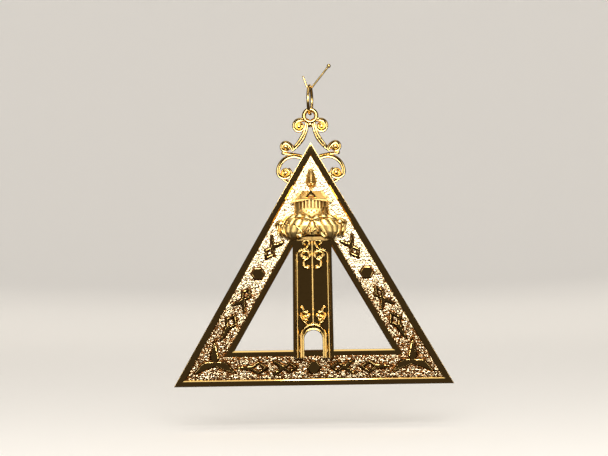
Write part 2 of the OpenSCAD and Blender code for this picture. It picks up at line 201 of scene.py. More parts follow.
def finish_piece(piece, body, material, nodes, sharp=40):
    """Shades a finished piece, gives it its hollowness and material, and seats it on its body."""
    mesh = piece.data
    mesh.materials.clear()
    mesh.materials.append(material)
    mesh.shade_smooth()
    mesh.set_sharp_from_angle(angle=math.radians(sharp))
    mark(mesh, hollow=hollowness(mesh))
    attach(piece, body)
    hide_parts(*nodes)
    mesh.calc_loop_triangles()
    print(piece.name, "has", len(mesh.loop_triangles), "triangles")


# %% [markdown]
# ## Paths, strokes and outlines
# A die cutter draws scrolls as arcs that run on into each other, and so does this script. A path is a
# start, a direction and rows of radius and turn. Relief is then a question of distance: how far a point
# of the surface lies from a stroke, or inside an outline.

# %% Paths and distances


def direction(degrees):
    """Unit vector at an angle from the first axis."""
    a = math.radians(degrees)
    return np.array([math.cos(a), math.sin(a)])


def walk(start, heading, rows, step=6):
    """Points of a path that leaves start and runs on smoothly through rows of radius and turn.

    A turn is in degrees, to the left where it is positive. A row with radius 0 is straight, and its
    second value is its length.
    """
    points = [np.array(start, float)]
    for radius, turn in rows:
        if radius == 0:
            points.append(points[-1] + turn * direction(heading))
            continue
        side = math.copysign(1, turn)
        middle = points[-1] + side * radius * direction(heading + 90)
        count = math.ceil(abs(turn) / step)
        for k in range(1, count + 1):
            points.append(middle + radius * direction(heading - side * 90 + turn * k / count))
        heading += turn
    return np.array(points)


def mirrored(path):
    """The same path on the other side of the middle."""
    return path * [-1, 1]


def even(path, spacing):
    """The same path with points at an even spacing, by interpolation along its length."""
    run = np.concatenate([[0], np.cumsum(np.linalg.norm(np.diff(path, axis=0), axis=1))])
    at = np.linspace(0, run[-1], max(2, round(run[-1] / spacing)))
    return np.stack([np.interp(at, run, path[:, k]) for k in range(path.shape[1])], 1)


def beside(x, z, a, b):
    """How far along the line from a to b a point lies, as a share, and its distance from the line."""
    run = b - a
    t = np.clip(((x - a[0]) * run[0] + (z - a[1]) * run[1]) / (run @ run + 1e-12), 0, 1)
    return t, np.hypot(x - a[0] - t * run[0], z - a[1] - t * run[1])


def stroke(x, z, path, width):
    """Distance to a path as a share of its half-width there: 0 on its line and 1 at its edge."""
    path = np.asarray(path, float)
    half = np.broadcast_to(np.asarray(width, float) / 2, len(path))
    near = np.full(np.shape(x), 9.0)
    for a, b, start, end in zip(path[:-1], path[1:], half[:-1], half[1:]):
        t, away = beside(x, z, a, b)
        near = np.minimum(near, away / (start + t * (end - start)))
    return near


def inside(x, z, outline):
    """Distance to a closed outline, positive inside it. Crossings of a level line tell in from out."""
    near = np.full(np.shape(x), 1e3)
    within = np.zeros(np.shape(x), bool)
    for a, b in zip(outline, np.roll(outline, -1, 0)):
        near = np.minimum(near, beside(x, z, a, b)[1])
        slant = (b[0] - a[0]) / ((b[1] - a[1]) or 1e-9)
        within ^= ((a[1] > z) != (b[1] > z)) & (x < a[0] + (z - a[1]) * slant)
    return np.where(within, near, -near)


def ramp(value, low, high):
    """Smooth step from 0 at low to 1 at high."""
    t = np.clip((value - low) / (high - low), 0, 1)
    return t * t * (3 - 2 * t)


def round_top(share):
    """Height of a half-round bar at this share of its half-width."""
    return np.sqrt(np.clip(1 - share**2, 0, 1))


def hammered(x, z, pitch, seed, tilt, lift):
    """Height of a field of small struck facets, one at a random place in each square of the pitch.

    A point belongs to the nearest place. Each facet leans its own way by a random slope, and stands up
    to lift above the seams between the facets.
    """
    cells = 211
    random = np.random.default_rng(seed)
    places = random.random((cells, cells, 2)) * 0.8 + 0.1
    slopes = random.normal(0, math.tan(math.radians(tilt)), (cells, cells, 2))
    near = np.full(np.shape(x), 9.0)
    second = np.full(np.shape(x), 9.0)
    lean = np.zeros(np.shape(x))
    for dx, dz in np.ndindex(3, 3):
        cx = np.floor(x / pitch).astype(int) + dx - 1
        cz = np.floor(z / pitch).astype(int) + dz - 1
        place = places[cx % cells, cz % cells]
        slope = slopes[cx % cells, cz % cells]
        off_x = x - (cx + place[..., 0]) * pitch
        off_z = z - (cz + place[..., 1]) * pitch
        away = np.hypot(off_x, off_z) / pitch
        closer = away < near
        second = np.where(closer, near, np.minimum(second, away))
        lean = np.where(closer, slope[..., 0] * off_x + slope[..., 1] * off_z, lean)
        near = np.where(closer, away, near)
    return lean + lift * ramp(second - near, 0.02, 0.3)


# %% [markdown]
# ## Finishes
# All of the metal is gilt, but not all of it is worked alike. Rims and facets are polished like a
# mirror, and the ground is matted with a punch. Hollows turn brown, partly with the patina that no cloth
# reaches and partly with painted shade. Two node groups hold what the finishes share: the tone of
# patina and painted shade, and the marks of handling.

# %% Helpers for shader nodes


def new_material(name, values):
    """Material with these values on its shader, and that shader."""
    material = bpy.data.materials.new(name)
    material.use_nodes = True
    shader = material.node_tree.nodes["Principled BSDF"]
    for socket, value in values.items():
        shader.inputs[socket].default_value = value
    return material, shader


def new_group(name, inputs, outputs):
    """Empty node group with its inputs and outputs as (name, kind of socket, start value)."""
    group = bpy.data.node_groups.new(name, "ShaderNodeTree")
    for way, sockets in (("INPUT", inputs), ("OUTPUT", outputs)):
        for label, kind, value in sockets:
            socket = group.interface.new_socket(label, in_out=way, socket_type="NodeSocket" + kind)
            socket.default_value = value
    return group, group.nodes.new("NodeGroupInput").outputs, group.nodes.new("NodeGroupOutput").inputs


def add(tree, kind, links=(), **settings):
    """New node with its settings, and with (input, source) links or plain values."""
    node = tree.nodes.new("ShaderNode" + kind)
    for key, value in settings.items():
        setattr(node, key, value)
    for name, source in links:
        if isinstance(source, bpy.types.NodeSocket):
            tree.links.new(source, node.inputs[name])
        else:
            node.inputs[name].default_value = source
    return node


def sums(tree, way, *values):
    """Result of arithmetic on sockets or numbers."""
    return add(tree, "Math", enumerate(values), operation=way).outputs[0]


def mixed(tree, share, first, second, kind="FLOAT"):
    """Mix of two numbers, or of two colours if the kind is RGBA."""
    outlet, inlet = (0, 2) if kind == "FLOAT" else (2, 6)
    node = add(tree, "Mix", [(0, share), (inlet, first), (inlet + 1, second)], data_type=kind)
    return node.outputs[outlet]


def read(tree, name):
    """Number that the mesh carries for each of its points under this name."""
    return add(tree, "Attribute", attribute_name=name).outputs["Fac"]


def noise(tree, scale, detail, rough=0.5, place=None):
    """Soft noise, fixed to the piece."""
    place = place or add(tree, "TexCoord").outputs["Object"]
    links = [("Vector", place), ("Scale", scale), ("Detail", detail), ("Roughness", rough)]
    return add(tree, "TexNoise", links).outputs["Fac"]


# %% Colours, and the two shared node groups
GILT = (0.95, 0.66, 0.24, 1)
# Dark brown of patina in hollows, and of painted shade.
PATINA_AND_SHADE = (0.12, 0.05, 0.012, 1)
# Pale gold of the ground's painted glint specks.
PAINTED_GLINT_SPECK = (1.0, 0.84, 0.52, 1)
# Dark brown of the ground's painted shade specks.
PAINTED_SHADE_SPECK = (0.12, 0.045, 0.01, 1)
BACK_SATIN = 0.5
# Weight of the painted shade mark beside hollowness.
PAINTED_SHADE_SHARE = 0.3
HAIR_ROUGH = 0.015
HAIR_BUMP = 0.03
GRIT_SCALE = 2700.0
# How far hollowness and the ground's painted shade thin out the pale specks.
GRIT_FALL = -0.2


def patina_shade_group():
    """Clean gilt browned by hollowness and painted shade, as patina and shade, broken up by soft noise.
    """
    tree, come, go = new_group(
        "patina_and_painted_shade", [("Clean", "Color", GILT), ("Patina_and_shade", "Color", PATINA_AND_SHADE), ("Reach", "Float", 0.7)],
        [("Colour", "Color", GILT)])
    cloud = noise(tree, 900.0, 4.0)
    held = sums(tree, "MULTIPLY_ADD", read(tree, "tarnish"), PAINTED_SHADE_SHARE, read(tree, "hollow"))
    spread = sums(tree, "SUBTRACT", cloud, 0.5)
    some = sums(tree, "MULTIPLY_ADD", spread, 0.5, held)
    mask = add(tree, "MapRange", [("Value", some), ("From Min", 0.02), ("From Max", 0.5),
                                  ("To Max", come["Reach"])])
    colour = mixed(tree, mask.outputs[0], come["Clean"], come["Patina_and_shade"], "RGBA")
    tree.links.new(colour, go["Colour"])
    return tree


def handling_group():
    """Roughness with soft smears and fine hair lines, and the height of those lines."""
    tree, come, go = new_group("handling", [("Base", "Float", 0.15), ("Smears", "Float", 0.08)],
                               [("Roughness", "Float", 0), ("Height", "Float", 0)])
    smear = noise(tree, 260.0, 5.0, 0.6)
    place = add(tree, "TexCoord").outputs["Object"]
    drawn = add(tree, "Mapping", [("Vector", place), ("Rotation", (0, 0.7, 0)), ("Scale", (1, 1, 0.04))])
    lines = noise(tree, 9000.0, 2.0, place=drawn.outputs[0])
    soft = sums(tree, "MULTIPLY_ADD", smear, come["Smears"], come["Base"])
    fine = sums(tree, "MULTIPLY_ADD", lines, HAIR_ROUGH, soft)
    tree.links.new(fine, go["Roughness"])
    tree.links.new(lines, go["Height"])
    return tree


PATINA_SHADE_GROUP = patina_shade_group()
HANDLING = handling_group()
print("shared node groups:", PATINA_SHADE_GROUP.name, "and", HANDLING.name)

# %% Gilt finishes


def gilt(name, reach=0.7, base=0.02, smears=0.03, dull=0.2, punched=False):
    """Gilt metal that reads where to change from the mesh.

    Matt tells how far it is dull, back makes it satin, and hollow and painted shade let it brown up to
    reach.
    Punched paints the punch's grit as pale specks of painted glint on dark specks of painted shade, the
    pale ones fewer where hollow or the ground's painted shade is high.
    """
    material, shader = new_material(name, {"Metallic": 1})
    tree = material.node_tree
    tone = add(tree, "Group", [("Reach", reach)], node_tree=PATINA_SHADE_GROUP)
    hands = add(tree, "Group", [("Base", base), ("Smears", smears)], node_tree=HANDLING).outputs
    relief = add(tree, "Bump", [("Height", hands["Height"]), ("Strength", HAIR_BUMP),
                                ("Distance", 0.00002)]).outputs[0]
    matt = read(tree, "matt")
    worked = mixed(tree, matt, hands["Roughness"], dull)
    rough = mixed(tree, read(tree, "back"), worked, BACK_SATIN)
    colour = tone.outputs["Colour"]
    if punched:
        grit = noise(tree, GRIT_SCALE, 1.0)
        clear = sums(tree, "MULTIPLY_ADD", read(tree, "grime"), GRIT_FALL, grit)
        deep = sums(tree, "MULTIPLY_ADD", read(tree, "hollow"), GRIT_FALL, clear)
        painted_specks = add(tree, "MapRange", [("Value", deep), ("From Min", 0.33), ("From Max", 0.45)],
                    interpolation_type="SMOOTHSTEP").outputs[0]
        # The matted ground's colour is painted specks: painted glints and painted shade.
        colour = mixed(tree, matt, colour, mixed(tree, painted_specks, PAINTED_SHADE_SPECK, PAINTED_GLINT_SPECK, "RGBA"), "RGBA")
        height = sums(tree, "MULTIPLY", painted_specks, matt)
        relief = add(tree, "Bump", [("Height", height), ("Strength", 0.4), ("Distance", 0.00004),
                                    ("Normal", relief)]).outputs[0]
    for socket, source in (("Base Color", colour), ("Roughness", rough), ("Normal", relief)):
        tree.links.new(source, shader.inputs[socket])
    return material


plate_gilt = gilt("plate_gilt", dull=0.25, punched=True)
tower_gilt = gilt("tower_gilt", dull=0.36)
hanger_gilt = gilt("hanger_gilt", base=0.12, smears=0.06)
ring_gilt = gilt("ring_gilt", base=0.17, smears=0.06, reach=0.3)
wire_gilt = gilt("wire_gilt", base=0.18, smears=0.08, reach=0.3)

# %% [markdown]
# ## The plate
# The triangle is one casting: a polished rim, a bevel down to the matted ground with its ornaments, and
# another polished rim round the window. A flat picture of relief could be stamped into a plain sheet,
# but then the mitred corners would be ragged. So the grid follows the sides: its columns run along the
# three sides and meet on the mitres, and its rows run inwards from the edge, down the window's wall,
# over the back and out to the edge again. The whole plate is one band that closes on itself.

# %% Sizes of the plate
BAR = 9.6
RIM = 1.8
WINDOW_RIM = 1.6
BEVEL = 0.4
GROUND_DEPTH = 0.45
RELIEF = 0.5
BACK_Y = plate_high[1]
GROUND_Y = plate_low[1] + RELIEF
RIM_Y = GROUND_Y - GROUND_DEPTH
PATTERN_V = (RIM + BAR - WINDOW_RIM) / 2
INNER = BAR - WINDOW_RIM
SMALL_AT = SIDE / 2 * 0.171
LARGE_AT = SIDE / 2 * 0.395
FLOWER_V = 6.45
BOSS_W = 3.7
PETAL_LEN = 6.3
PETAL_W = 2.3

# %% Rows and columns of the plate's band
# Each row is a distance in from the side and a depth. The short slope inside the rim is cut apart
# from the bevel, because it is the only facet there that mirrors the light from above.
SIDE_STEPS = 424
ground_rows = [(v, GROUND_Y) for v in np.linspace(RIM + 0.05, INNER - 0.05, 54)]
plate_rows = np.array(
    [(0, BACK_Y - 0.1), (0, RIM_Y + 0.14), (0.03, RIM_Y + 0.05), (0.07, RIM_Y + 0.01), (0.14, RIM_Y),
     (RIM - BEVEL, RIM_Y), (RIM - BEVEL + 0.18, RIM_Y + 0.098),
     (RIM - BEVEL + 0.24, RIM_Y + 0.13), (RIM + 0.02, GROUND_Y - 0.002)]
    + ground_rows
    + [(INNER, GROUND_Y - 0.08), (INNER + 0.03, RIM_Y + 0.06), (INNER + 0.1, RIM_Y), (BAR - BEVEL, RIM_Y),
       (BAR - 0.03, RIM_Y + 0.28), (BAR, RIM_Y + BEVEL + 0.1), (BAR, BACK_Y - 0.1),
       (BAR - 0.12, BACK_Y), (BAR / 2, BACK_Y), (0.12, BACK_Y)])
u = np.linspace(-1, 1, SIDE_STEPS + 1)[:-1]
row_v = plate_rows[:, 0][:, None, None]
side_s = u[None, None, :] * (SIDE / 2 - row_v * math.sqrt(3)) + np.zeros((1, 3, 1))
turn = np.radians([0, 120, 240])[None, :, None]
plate_x = side_s * np.cos(turn) - (row_v - IN_RADIUS) * np.sin(turn)
plate_z = side_s * np.sin(turn) + (row_v - IN_RADIUS) * np.cos(turn) + IN_RADIUS
side_v = row_v + np.zeros_like(side_s)
row_y = plate_rows[:, 1][:, None, None]
print("the band has", plate_x.size, "points")

# %% [markdown]
# ### Ornaments on the ground
# Each side has a six-sided boss at its middle, then an open diamond with two prongs, then a larger
# open diamond with a tail, and each lower corner has a flower of three petals. They could be separate
# solids laid on the ground. Here they are raised out of it by their outlines' distances, which gives
# them the flat tops and sloping flanks of a struck pattern, in one skin with the ground.

# %% Outlines of the ornaments


def diamond(s, v, length, width):
    """Inside distance of a diamond about the origin: the two half-lengths set the slope of its sides."""
    a = length / 2
    b = width / 2
    return (1 - np.abs(s) / a - np.abs(v) / b) / math.hypot(1 / a, 1 / b)


def open_diamond(s, v, length, width, hole):
    """Inside distance of a diamond with an opening, whose size is a share of the diamond's."""
    return np.minimum(diamond(s, v, length, width), -diamond(s, v, length * hole, width * hole))


def six_sided(s, v, width):
    """Inside distance of a hexagon with its points to the sides: the nearest of three pairs of sides."""
    flat = width / 2 * math.cos(math.pi / 6)
    ways = [abs(s * math.cos(a) + v * math.sin(a)) for a in np.radians([30, 90, 150])]
    return flat - np.maximum.reduce(ways)


def tapered(s, v, path, root, tip):
    """Inside distance of a stroke whose width goes from root to tip."""
    return (1 - stroke(s, v, path, np.linspace(root, tip, len(path)))) * (root + tip) / 4


def small_ornament(s, v):
    """Open diamond with two prongs that spread outwards."""
    made = open_diamond(s, v, 4.4, 3.1, 0.46)
    for side in (-1, 1):
        prong = [(1.6, 0), (2.4, side * 0.3), (3.2, side * 1.1), (4.2, side * 1.7)]
        made = np.maximum(made, tapered(s, v, prong, 1.3, 0.7))
    return made


def large_ornament(s, v):
    """Larger open diamond with a tail that thins towards the corner."""
    made = open_diamond(s, v, 5.4, 3.6, 0.52)
    return np.maximum(made, tapered(s, v, [(2.0, 0), (4.0, 0.05), (5.5, 0)], 1.4, 0.6))


UPRIGHT = np.array([(0, 0), (0.52, 0.02), (1, 0.18), (0.96, 0.3), (0.8, 0.42), (0.48, 0.68), (0, 1)])
DROOPING = np.array([(0, 0.1), (0.22, 0.16), (0.44, 0.1), (0.58, -0.18), (0.93, -1.3), (0.78, -1.28),
                     (0.56, -1), (0.26, -0.7), (0, -0.45)])


def corner_flower(x, z):
    """Inside distance of one upright petal and two that droop. Both halves are mirror images."""
    petals = [UPRIGHT * [PETAL_W / 2, PETAL_LEN], DROOPING * [PETAL_LEN, PETAL_W]]
    outlines = [np.concatenate([half, mirrored(half)[::-1]]) for half in petals]
    return np.maximum.reduce([inside(np.abs(x), z, outline) for outline in outlines])


# %% Relief and matting of the plate
# Painted shade darkens the ground towards the lower edge and round the ornaments' feet, by thinning its
# pale specks.
FOOT_SHADE = 2.5
STRUCK = {"pitch": 0.5, "seed": 3, "tilt": 4, "lift": 0.03}
on_ground = (side_v > RIM + 0.02) & (side_v < INNER - 0.02) & (row_y < GROUND_Y + 0.01)
toward = np.abs(side_s)
pattern_v = side_v - PATTERN_V
large_here = np.ones_like(side_s, bool)
large_here[:, 1] = side_s[:, 1] < 0
large_here[:, 2] = side_s[:, 2] > 0
ornament = six_sided(side_s, pattern_v, BOSS_W)
ornament = np.maximum(ornament, small_ornament(toward - SMALL_AT, pattern_v))
large = large_ornament(toward - LARGE_AT, pattern_v)
ornament = np.where(large_here, np.maximum(ornament, large), ornament)
flower_x = SIDE / 2 - FLOWER_V * math.sqrt(3)
ornament = np.maximum(ornament, corner_flower(np.abs(plate_x) - flower_x, plate_z - FLOWER_V))
raised = ramp(ornament, -0.1, 0.16) * on_ground
edge_fade = ramp(side_v, RIM, RIM + 0.3) * ramp(-side_v, -INNER, -INNER + 0.3)
punch = hammered(plate_x, plate_z, **STRUCK) * (1 - raised) * edge_fade * on_ground
plate_points = stacked(plate_x, row_y - (raised * RELIEF + punch), plate_z + EDGE_Z)
plate = mesh_object("plate_casting", *hoop(plate_points.reshape(len(plate_rows), -1, 3)))
matt = ramp(-ornament, -0.22, -0.15) * on_ground
on_back = np.zeros_like(side_v) + (row_y > BACK_Y - 0.05)
# Painted shade: the ground darker towards the lower edge and round the ornaments' feet.
grime = ramp(-plate_z, -46, -8) + FOOT_SHADE * ramp(ornament, -0.26, -0.14)
mark(plate.data, matt=matt, back=on_back, grime=grime)
finish_piece(plate, "jewel", plate_gilt, ["plate"], sharp=27)

# %% [markdown]
# ## The tower
# The tower is a second casting, fixed to the plate's front. Its shaft is half an octagon with a
# polished front, on which ribs, scrolls and the doorway's moulding stand up as thin bright lines. A box
# with lines painted on would look dead from the side, so the lines are relief on a fine grid, and the
# doorway is cut right through.

# %% Heights and depths of the tower, where CAP is the capital
BACK = tower_high[1]
SHAFT_D = 3.0
FACET = 1.15
FOOT_W = 11.0
TOP_W = 10.5
FOOT_Z = tower_low[2] - EDGE_Z
RIB_W = 0.5
RIB_H = 0.35
DOOR_W = 4.9
DOOR_BAND = 1.15
JAMB = 5.0
ARCH_LIFT = 0.6
CAP_W = 19.8
CAP_H = 6.7
CAP_D = 4.6
CAP_TOP = APEX - 2 * BAR - 0.7
CAP_LOW = CAP_TOP - CAP_H
DRUM_W = 9.4
DRUM_H = 4.6
DRUM_D = 3.2
EAVE_Z = CAP_TOP + DRUM_H * 0.78
ROOF_W = 11.7
ROOF_H = 3.15
ROOF_D = 4.1
RIDGE_LEN = 6.2
RIDGE_Z = EAVE_Z + ROOF_H
FLAME_H = 5.3
FLAME_W = 2.9
NECK_H = FLAME_H * 0.17
FLAME_Z = RIDGE_Z + NECK_H
ARCH_TOP = FOOT_Z + JAMB + ARCH_LIFT + DOOR_W / 2 + DOOR_BAND


def placed(x, y, z):
    """Points whose heights are counted from the plate's lower edge."""
    return stacked(x, y, np.asarray(z) + EDGE_Z)


# %% Relief of the shaft


def face_half(share):
    """Half-width of the shaft's polished front at a share of its height."""
    return (FOOT_W + (TOP_W - FOOT_W) * share) / 2 - FACET


def shaft_strokes():
    """The right half's raised lines, each with its width from end to end."""
    scroll_z = CAP_LOW - 4.1
    side_line = np.concatenate([[(face_half(0), FOOT_Z)], walk(
        (face_half(0.87), scroll_z), 90, [(1.47, 75), (0, 0.7), (2.4, -50), (0.88, -180), (0.38, -95)])])
    mid_scroll = walk((2.18, scroll_z - 0.7), 0,
                      [(0.67, 70), (1.11, 275), (1.1, -75), (0, 0.6), (0.55, -160)])
    low_scroll = walk((3, ARCH_TOP + 4.3), 245, [(0, 0.7), (0.94, -55), (1.02, 150), (0.48, 200)])
    low_arc = walk((2.53, ARCH_TOP + 3.35), -35, [(1.66, -80), (2.1, -35), (0, 0.3)])
    return [(side_line, 0.5, 0.62), (mid_scroll, 0.62, 0.7), (low_scroll, 0.7, 0.5), (low_arc, 0.4, 0.6)]


SHAFT_BEADS = [(2.18, CAP_LOW - 4.8, 0.5), (1.3, CAP_LOW - 7.4, 0.45),
               (3.0, ARCH_TOP + 4.35, 0.42), (1.5, ARCH_TOP + 2.1, 0.5)]


def shaft_relief(x, z):
    """Height of the ribs, the scrolls and the moulding round the doorway, above the plain shaft."""
    share = stroke(x, z, [(0, ARCH_TOP - 0.2), (0, CAP_LOW + 2)], RIB_W)
    for path, start, end in shaft_strokes():
        share = np.minimum(share, stroke(np.abs(x), z, path, np.linspace(start, end, len(path))))
    lift = RIB_H * round_top(share)
    for x0, z0, r in SHAFT_BEADS:
        lift = np.maximum(lift, RIB_H * 1.1 * round_top(np.hypot(np.abs(x) - x0, z - z0) / r))
    spring = FOOT_Z + JAMB
    door = np.hypot(x, np.maximum(z - spring, 0)) - DOOR_W / 2
    outer = DOOR_W / 2 + DOOR_BAND - np.hypot(x, np.maximum(z - spring - ARCH_LIFT, 0))
    band = 0.16 * ramp(outer, 0, 0.12)
    rim = RIB_H * 1.15 * round_top((outer - 0.28) / 0.28)
    lip = 0.3 * round_top((door - 0.22) / 0.24) * (outer > 0.4)
    return np.maximum(lift * (door > 0.3) * (outer < 0.05), np.maximum.reduce([band, rim, lip]))


# %% Build the shaft
FRONT_STEPS = 95
shaft_head = CAP_LOW + 1
shaft_z = np.linspace(FOOT_Z, shaft_head, 300)[:, None]
shaft_half = (FOOT_W + (TOP_W - FOOT_W) * (shaft_z - FOOT_Z) / (shaft_head - FOOT_Z)) / 2
facet = FACET * np.linspace(0, 1, 7)[:-1]
flank_x = np.concatenate([[0, 0], facet])
flank_deep = np.concatenate([[0, 0.6], SHAFT_D - FACET + facet])
section_x = np.concatenate([flank_x - shaft_half, (shaft_half - FACET) * np.linspace(-1, 1, FRONT_STEPS),
                            shaft_half - flank_x[::-1]], 1)
section_deep = np.concatenate([flank_deep, np.full(FRONT_STEPS, SHAFT_D), flank_deep[::-1]])
lift = shaft_relief(section_x, shaft_z) * (section_deep > SHAFT_D - FACET * 0.7)
shaft = shell(placed(section_x, BACK - section_deep - lift, shaft_z))
print("the shaft is", FOOT_W, "mm wide at its foot and has", section_x.size, "points")

# %% The doorway's cutter
arch_turn = np.radians(np.linspace(0, 180, 33))
arch_x = np.concatenate([[DOOR_W / 2], DOOR_W / 2 * np.cos(arch_turn), [-DOOR_W / 2]])
arch_z = np.concatenate([[FOOT_Z - 1], FOOT_Z + JAMB + DOOR_W / 2 * np.sin(arch_turn), [FOOT_Z - 1]])
doorway = shell(placed(arch_x, np.array([[BACK + 1], [BACK - SHAFT_D - 2]]), arch_z))

# %% [markdown]
# ## The capital
# Below the lantern the tower has a swelling capital wrapped in leaves that roll over at the top. It is
# a bell with leaves laid on it. Each leaf is a closed sheet that climbs the bell in half-round fingers
# with creases between them and rolls outwards at its tip. A flat sheet with painted veins would lose
# the rolls' shadows. Round beads then draw the leaves' turned edges.

# %% The bell
BELL = np.array([(0, 0.60, 0.70), (0.05, 0.76, 0.82), (0.13, 0.86, 0.9), (0.35, 0.93, 0.95),
                 (0.62, 0.92, 0.95), (0.82, 0.82, 0.88), (1, 0.68, 0.78)])
LIP = np.array([(-8.3, 1.0), (-5.2, 0), (-1.2, 1.6), (2.4, 1.5), (4.6, 0.2), (7.2, 1.3), (8.3, 1.1)])


def bell_at(share):
    """Half-width and depth of the bell at a share of its height."""
    return (np.interp(share, BELL[:, 0], BELL[:, 1]) * CAP_W / 2,
            np.interp(share, BELL[:, 0], BELL[:, 2]) * CAP_D)


def half_round(half_width, depth, z, count=72):
    """Rings of a half-round lump with a flat back, for arrays of half-width, depth and height."""
    a = np.radians(np.linspace(-90, 90, count))
    return placed(half_width[:, None] * np.sin(a), BACK - depth[:, None] * np.cos(a), z[:, None])


bell_share = np.linspace(0, 1, 40)
bell_half, bell_depth = bell_at(bell_share)
bell_rings = half_round(bell_half, bell_depth, CAP_LOW + bell_share * CAP_H)
lip_drop = np.interp(bell_rings[..., 0], LIP[:, 0], LIP[:, 1])
bell_rings[..., 2] += lip_drop * (1 - bell_share[:, None]) ** 3
bell = shell(bell_rings)

# %% The leaves
# Each row has a leaf's middle and half-width in degrees round the bell, how far its foot is above the
# capital's and its tip below the top, how far it stands out, its roll's radius, its lean and its sag.
FINGERS = 3
ROLL_FROM = 0.8
LEAF_THICK = 0.42
LEAVES = [(1, 13, 1.6, 0.6, 0.1, 0.35, 0, 0.3), (-72, 13, 1.0, 1.5, 0.35, 0.4, 0, 0.5),
          (66, 14, 1.1, 1.2, 0.35, 0.4, 0, 0.5), (-31, 25, 0.1, -0.1, 0.5, 0.5, 12, 1.2),
          (30, 24, 0.3, 0, 0.5, 0.5, -12, 1.2)]


def leaf(middle, half_angle, foot_up, tip_down, proud, curl, lean, sag, across=61, up=48):
    """Closed leaf on the bell.

    Across the leaf u goes from -1 to 1, and up the leaf v from 0 to 1. Each finger is half round, with
    a crease to the next one, and over the last fifth of v it rolls outwards round a circle of radius
    curl. The foot sags in the middle, and a thin bead runs along both edges.
    """
    low = CAP_LOW + foot_up
    high = CAP_TOP - tip_down
    v, u = np.meshgrid(np.linspace(0, 1, up), np.linspace(-1, 1, across), indexing="ij")
    climb = np.minimum(v / ROLL_FROM, 1)
    over = np.clip((v - ROLL_FROM) / 0.2, 0, 1)
    part = (u + 1) / 2 * FINGERS
    finger = round_top(2 * (part - np.floor(part)) - 1)
    foot = low + sag * u**2
    top = high - (high - low) * 0.12 * u**2 - 0.5 * (1 - finger)
    radius = curl * (0.4 + 0.6 * finger)
    roll = np.radians(210) * over
    z = foot + (top - 0.6 * radius - foot) * climb + radius * np.sin(roll)
    width = half_angle * (0.5 + 0.5 * np.sin(np.pi / 2 * np.minimum(climb * 1.5, 1)))
    angle = np.radians(middle + lean * (climb - 0.5) + u * width)
    half, depth = bell_at(np.clip((z - CAP_LOW) / CAP_H, 0, 1))
    swell = proud * (0.3 + 0.7 * climb) * (0.5 + 0.5 * np.cos(u * np.pi / 2))
    border = 0.22 * np.exp(-(((np.abs(u) - 0.95) / 0.05) ** 2))
    ridges = 0.4 * (finger - 0.6) * (0.3 + 0.7 * climb)
    out = swell + border + ridges + radius * (1 - np.cos(roll))
    face = placed((half + out) * np.sin(angle), BACK - (depth + out) * np.cos(angle), z)
    normal = unit(np.cross(np.gradient(face, axis=1), np.gradient(face, axis=0)))
    if normal[2, across // 2, 1] > 0:
        normal = -normal
    over = over[..., None]
    thick = LEAF_THICK * (1 - 0.75 * over) * np.sqrt(np.clip(1.02 - u**2, 0.05, 1))[..., None]
    back = face - normal * (thick + proud * (1 - over))
    return shell(np.concatenate([face, back[:, ::-1]], 1))


leaves = [leaf(*row) for row in LEAVES]
print("the capital has", len(leaves), "leaves of", FINGERS, "fingers")

# %% Edges of the leaves
# Each row has a width and then points, as distances from the middle and above the capital's foot.
EDGES = [
    (0.5, [(-4.6, 4.3), (-3.4, 3.3), (-2.4, 2.1), (-2.7, 1.2), (-3.6, 0.6)]),
    (0.42, [(-6.9, 6.0), (-7.8, 4.6), (-8.1, 3.0), (-7.5, 1.3)]),
    (0.6, [(-7.6, 4.8), (-6.8, 4.3), (-6.0, 4.3)]),
    (0.45, [(-0.3, 3.7), (-1.7, 1.8)]),
    (0.5, [(0.2, 5.7), (1.5, 4.6), (2.9, 2.5), (3.7, 1.4)]),
    (0.5, [(-0.1, 2.1), (0.75, 3.2), (1.6, 2.1)]),
    (0.45, [(8.1, 5.0), (8.5, 3.4), (8.2, 2.0)]),
    (0.4, [(-9.3, 4.6), (-9.2, 3.0), (-8.7, 1.6)]),
]


def leaf_edge(width, points, proud=0.75):
    """Round bead that follows points on the bell's front, as a leaf's turned edge."""
    path = even(np.array(points), 0.2)
    half, depth = bell_at(np.clip(path[:, 1] / CAP_H, 0, 1))
    angle = np.arcsin(np.clip(path[:, 0] / (half + proud), -0.98, 0.98))
    middle = placed(path[:, 0], BACK - (depth + proud) * np.cos(angle), CAP_LOW + path[:, 1])
    out = stacked(np.sin(angle), -np.cos(angle), 0)
    side = unit(np.cross(unit(np.gradient(middle, axis=0)), out))
    ends = np.minimum(np.arange(len(path)), np.arange(len(path))[::-1])
    radius = (width / 2 * np.interp(ends, [0, 1, 3], [0.35, 0.75, 1]))[:, None, None]
    a = turns(30)[:, None]
    return shell(middle[:, None] + radius * (np.cos(a) * side[:, None] + np.sin(a) * out[:, None]))


leaf_edges = [leaf_edge(width, points) for width, points in EDGES]

# %% [markdown]
# ## The lantern
# On the capital stands a drum with upright slots, and on the drum a hipped roof with a small gable.
# The slots are sunk where a point lies near one of their middle lines, and the roof is a stack of
# four-cornered sections that shrink towards the ridge.

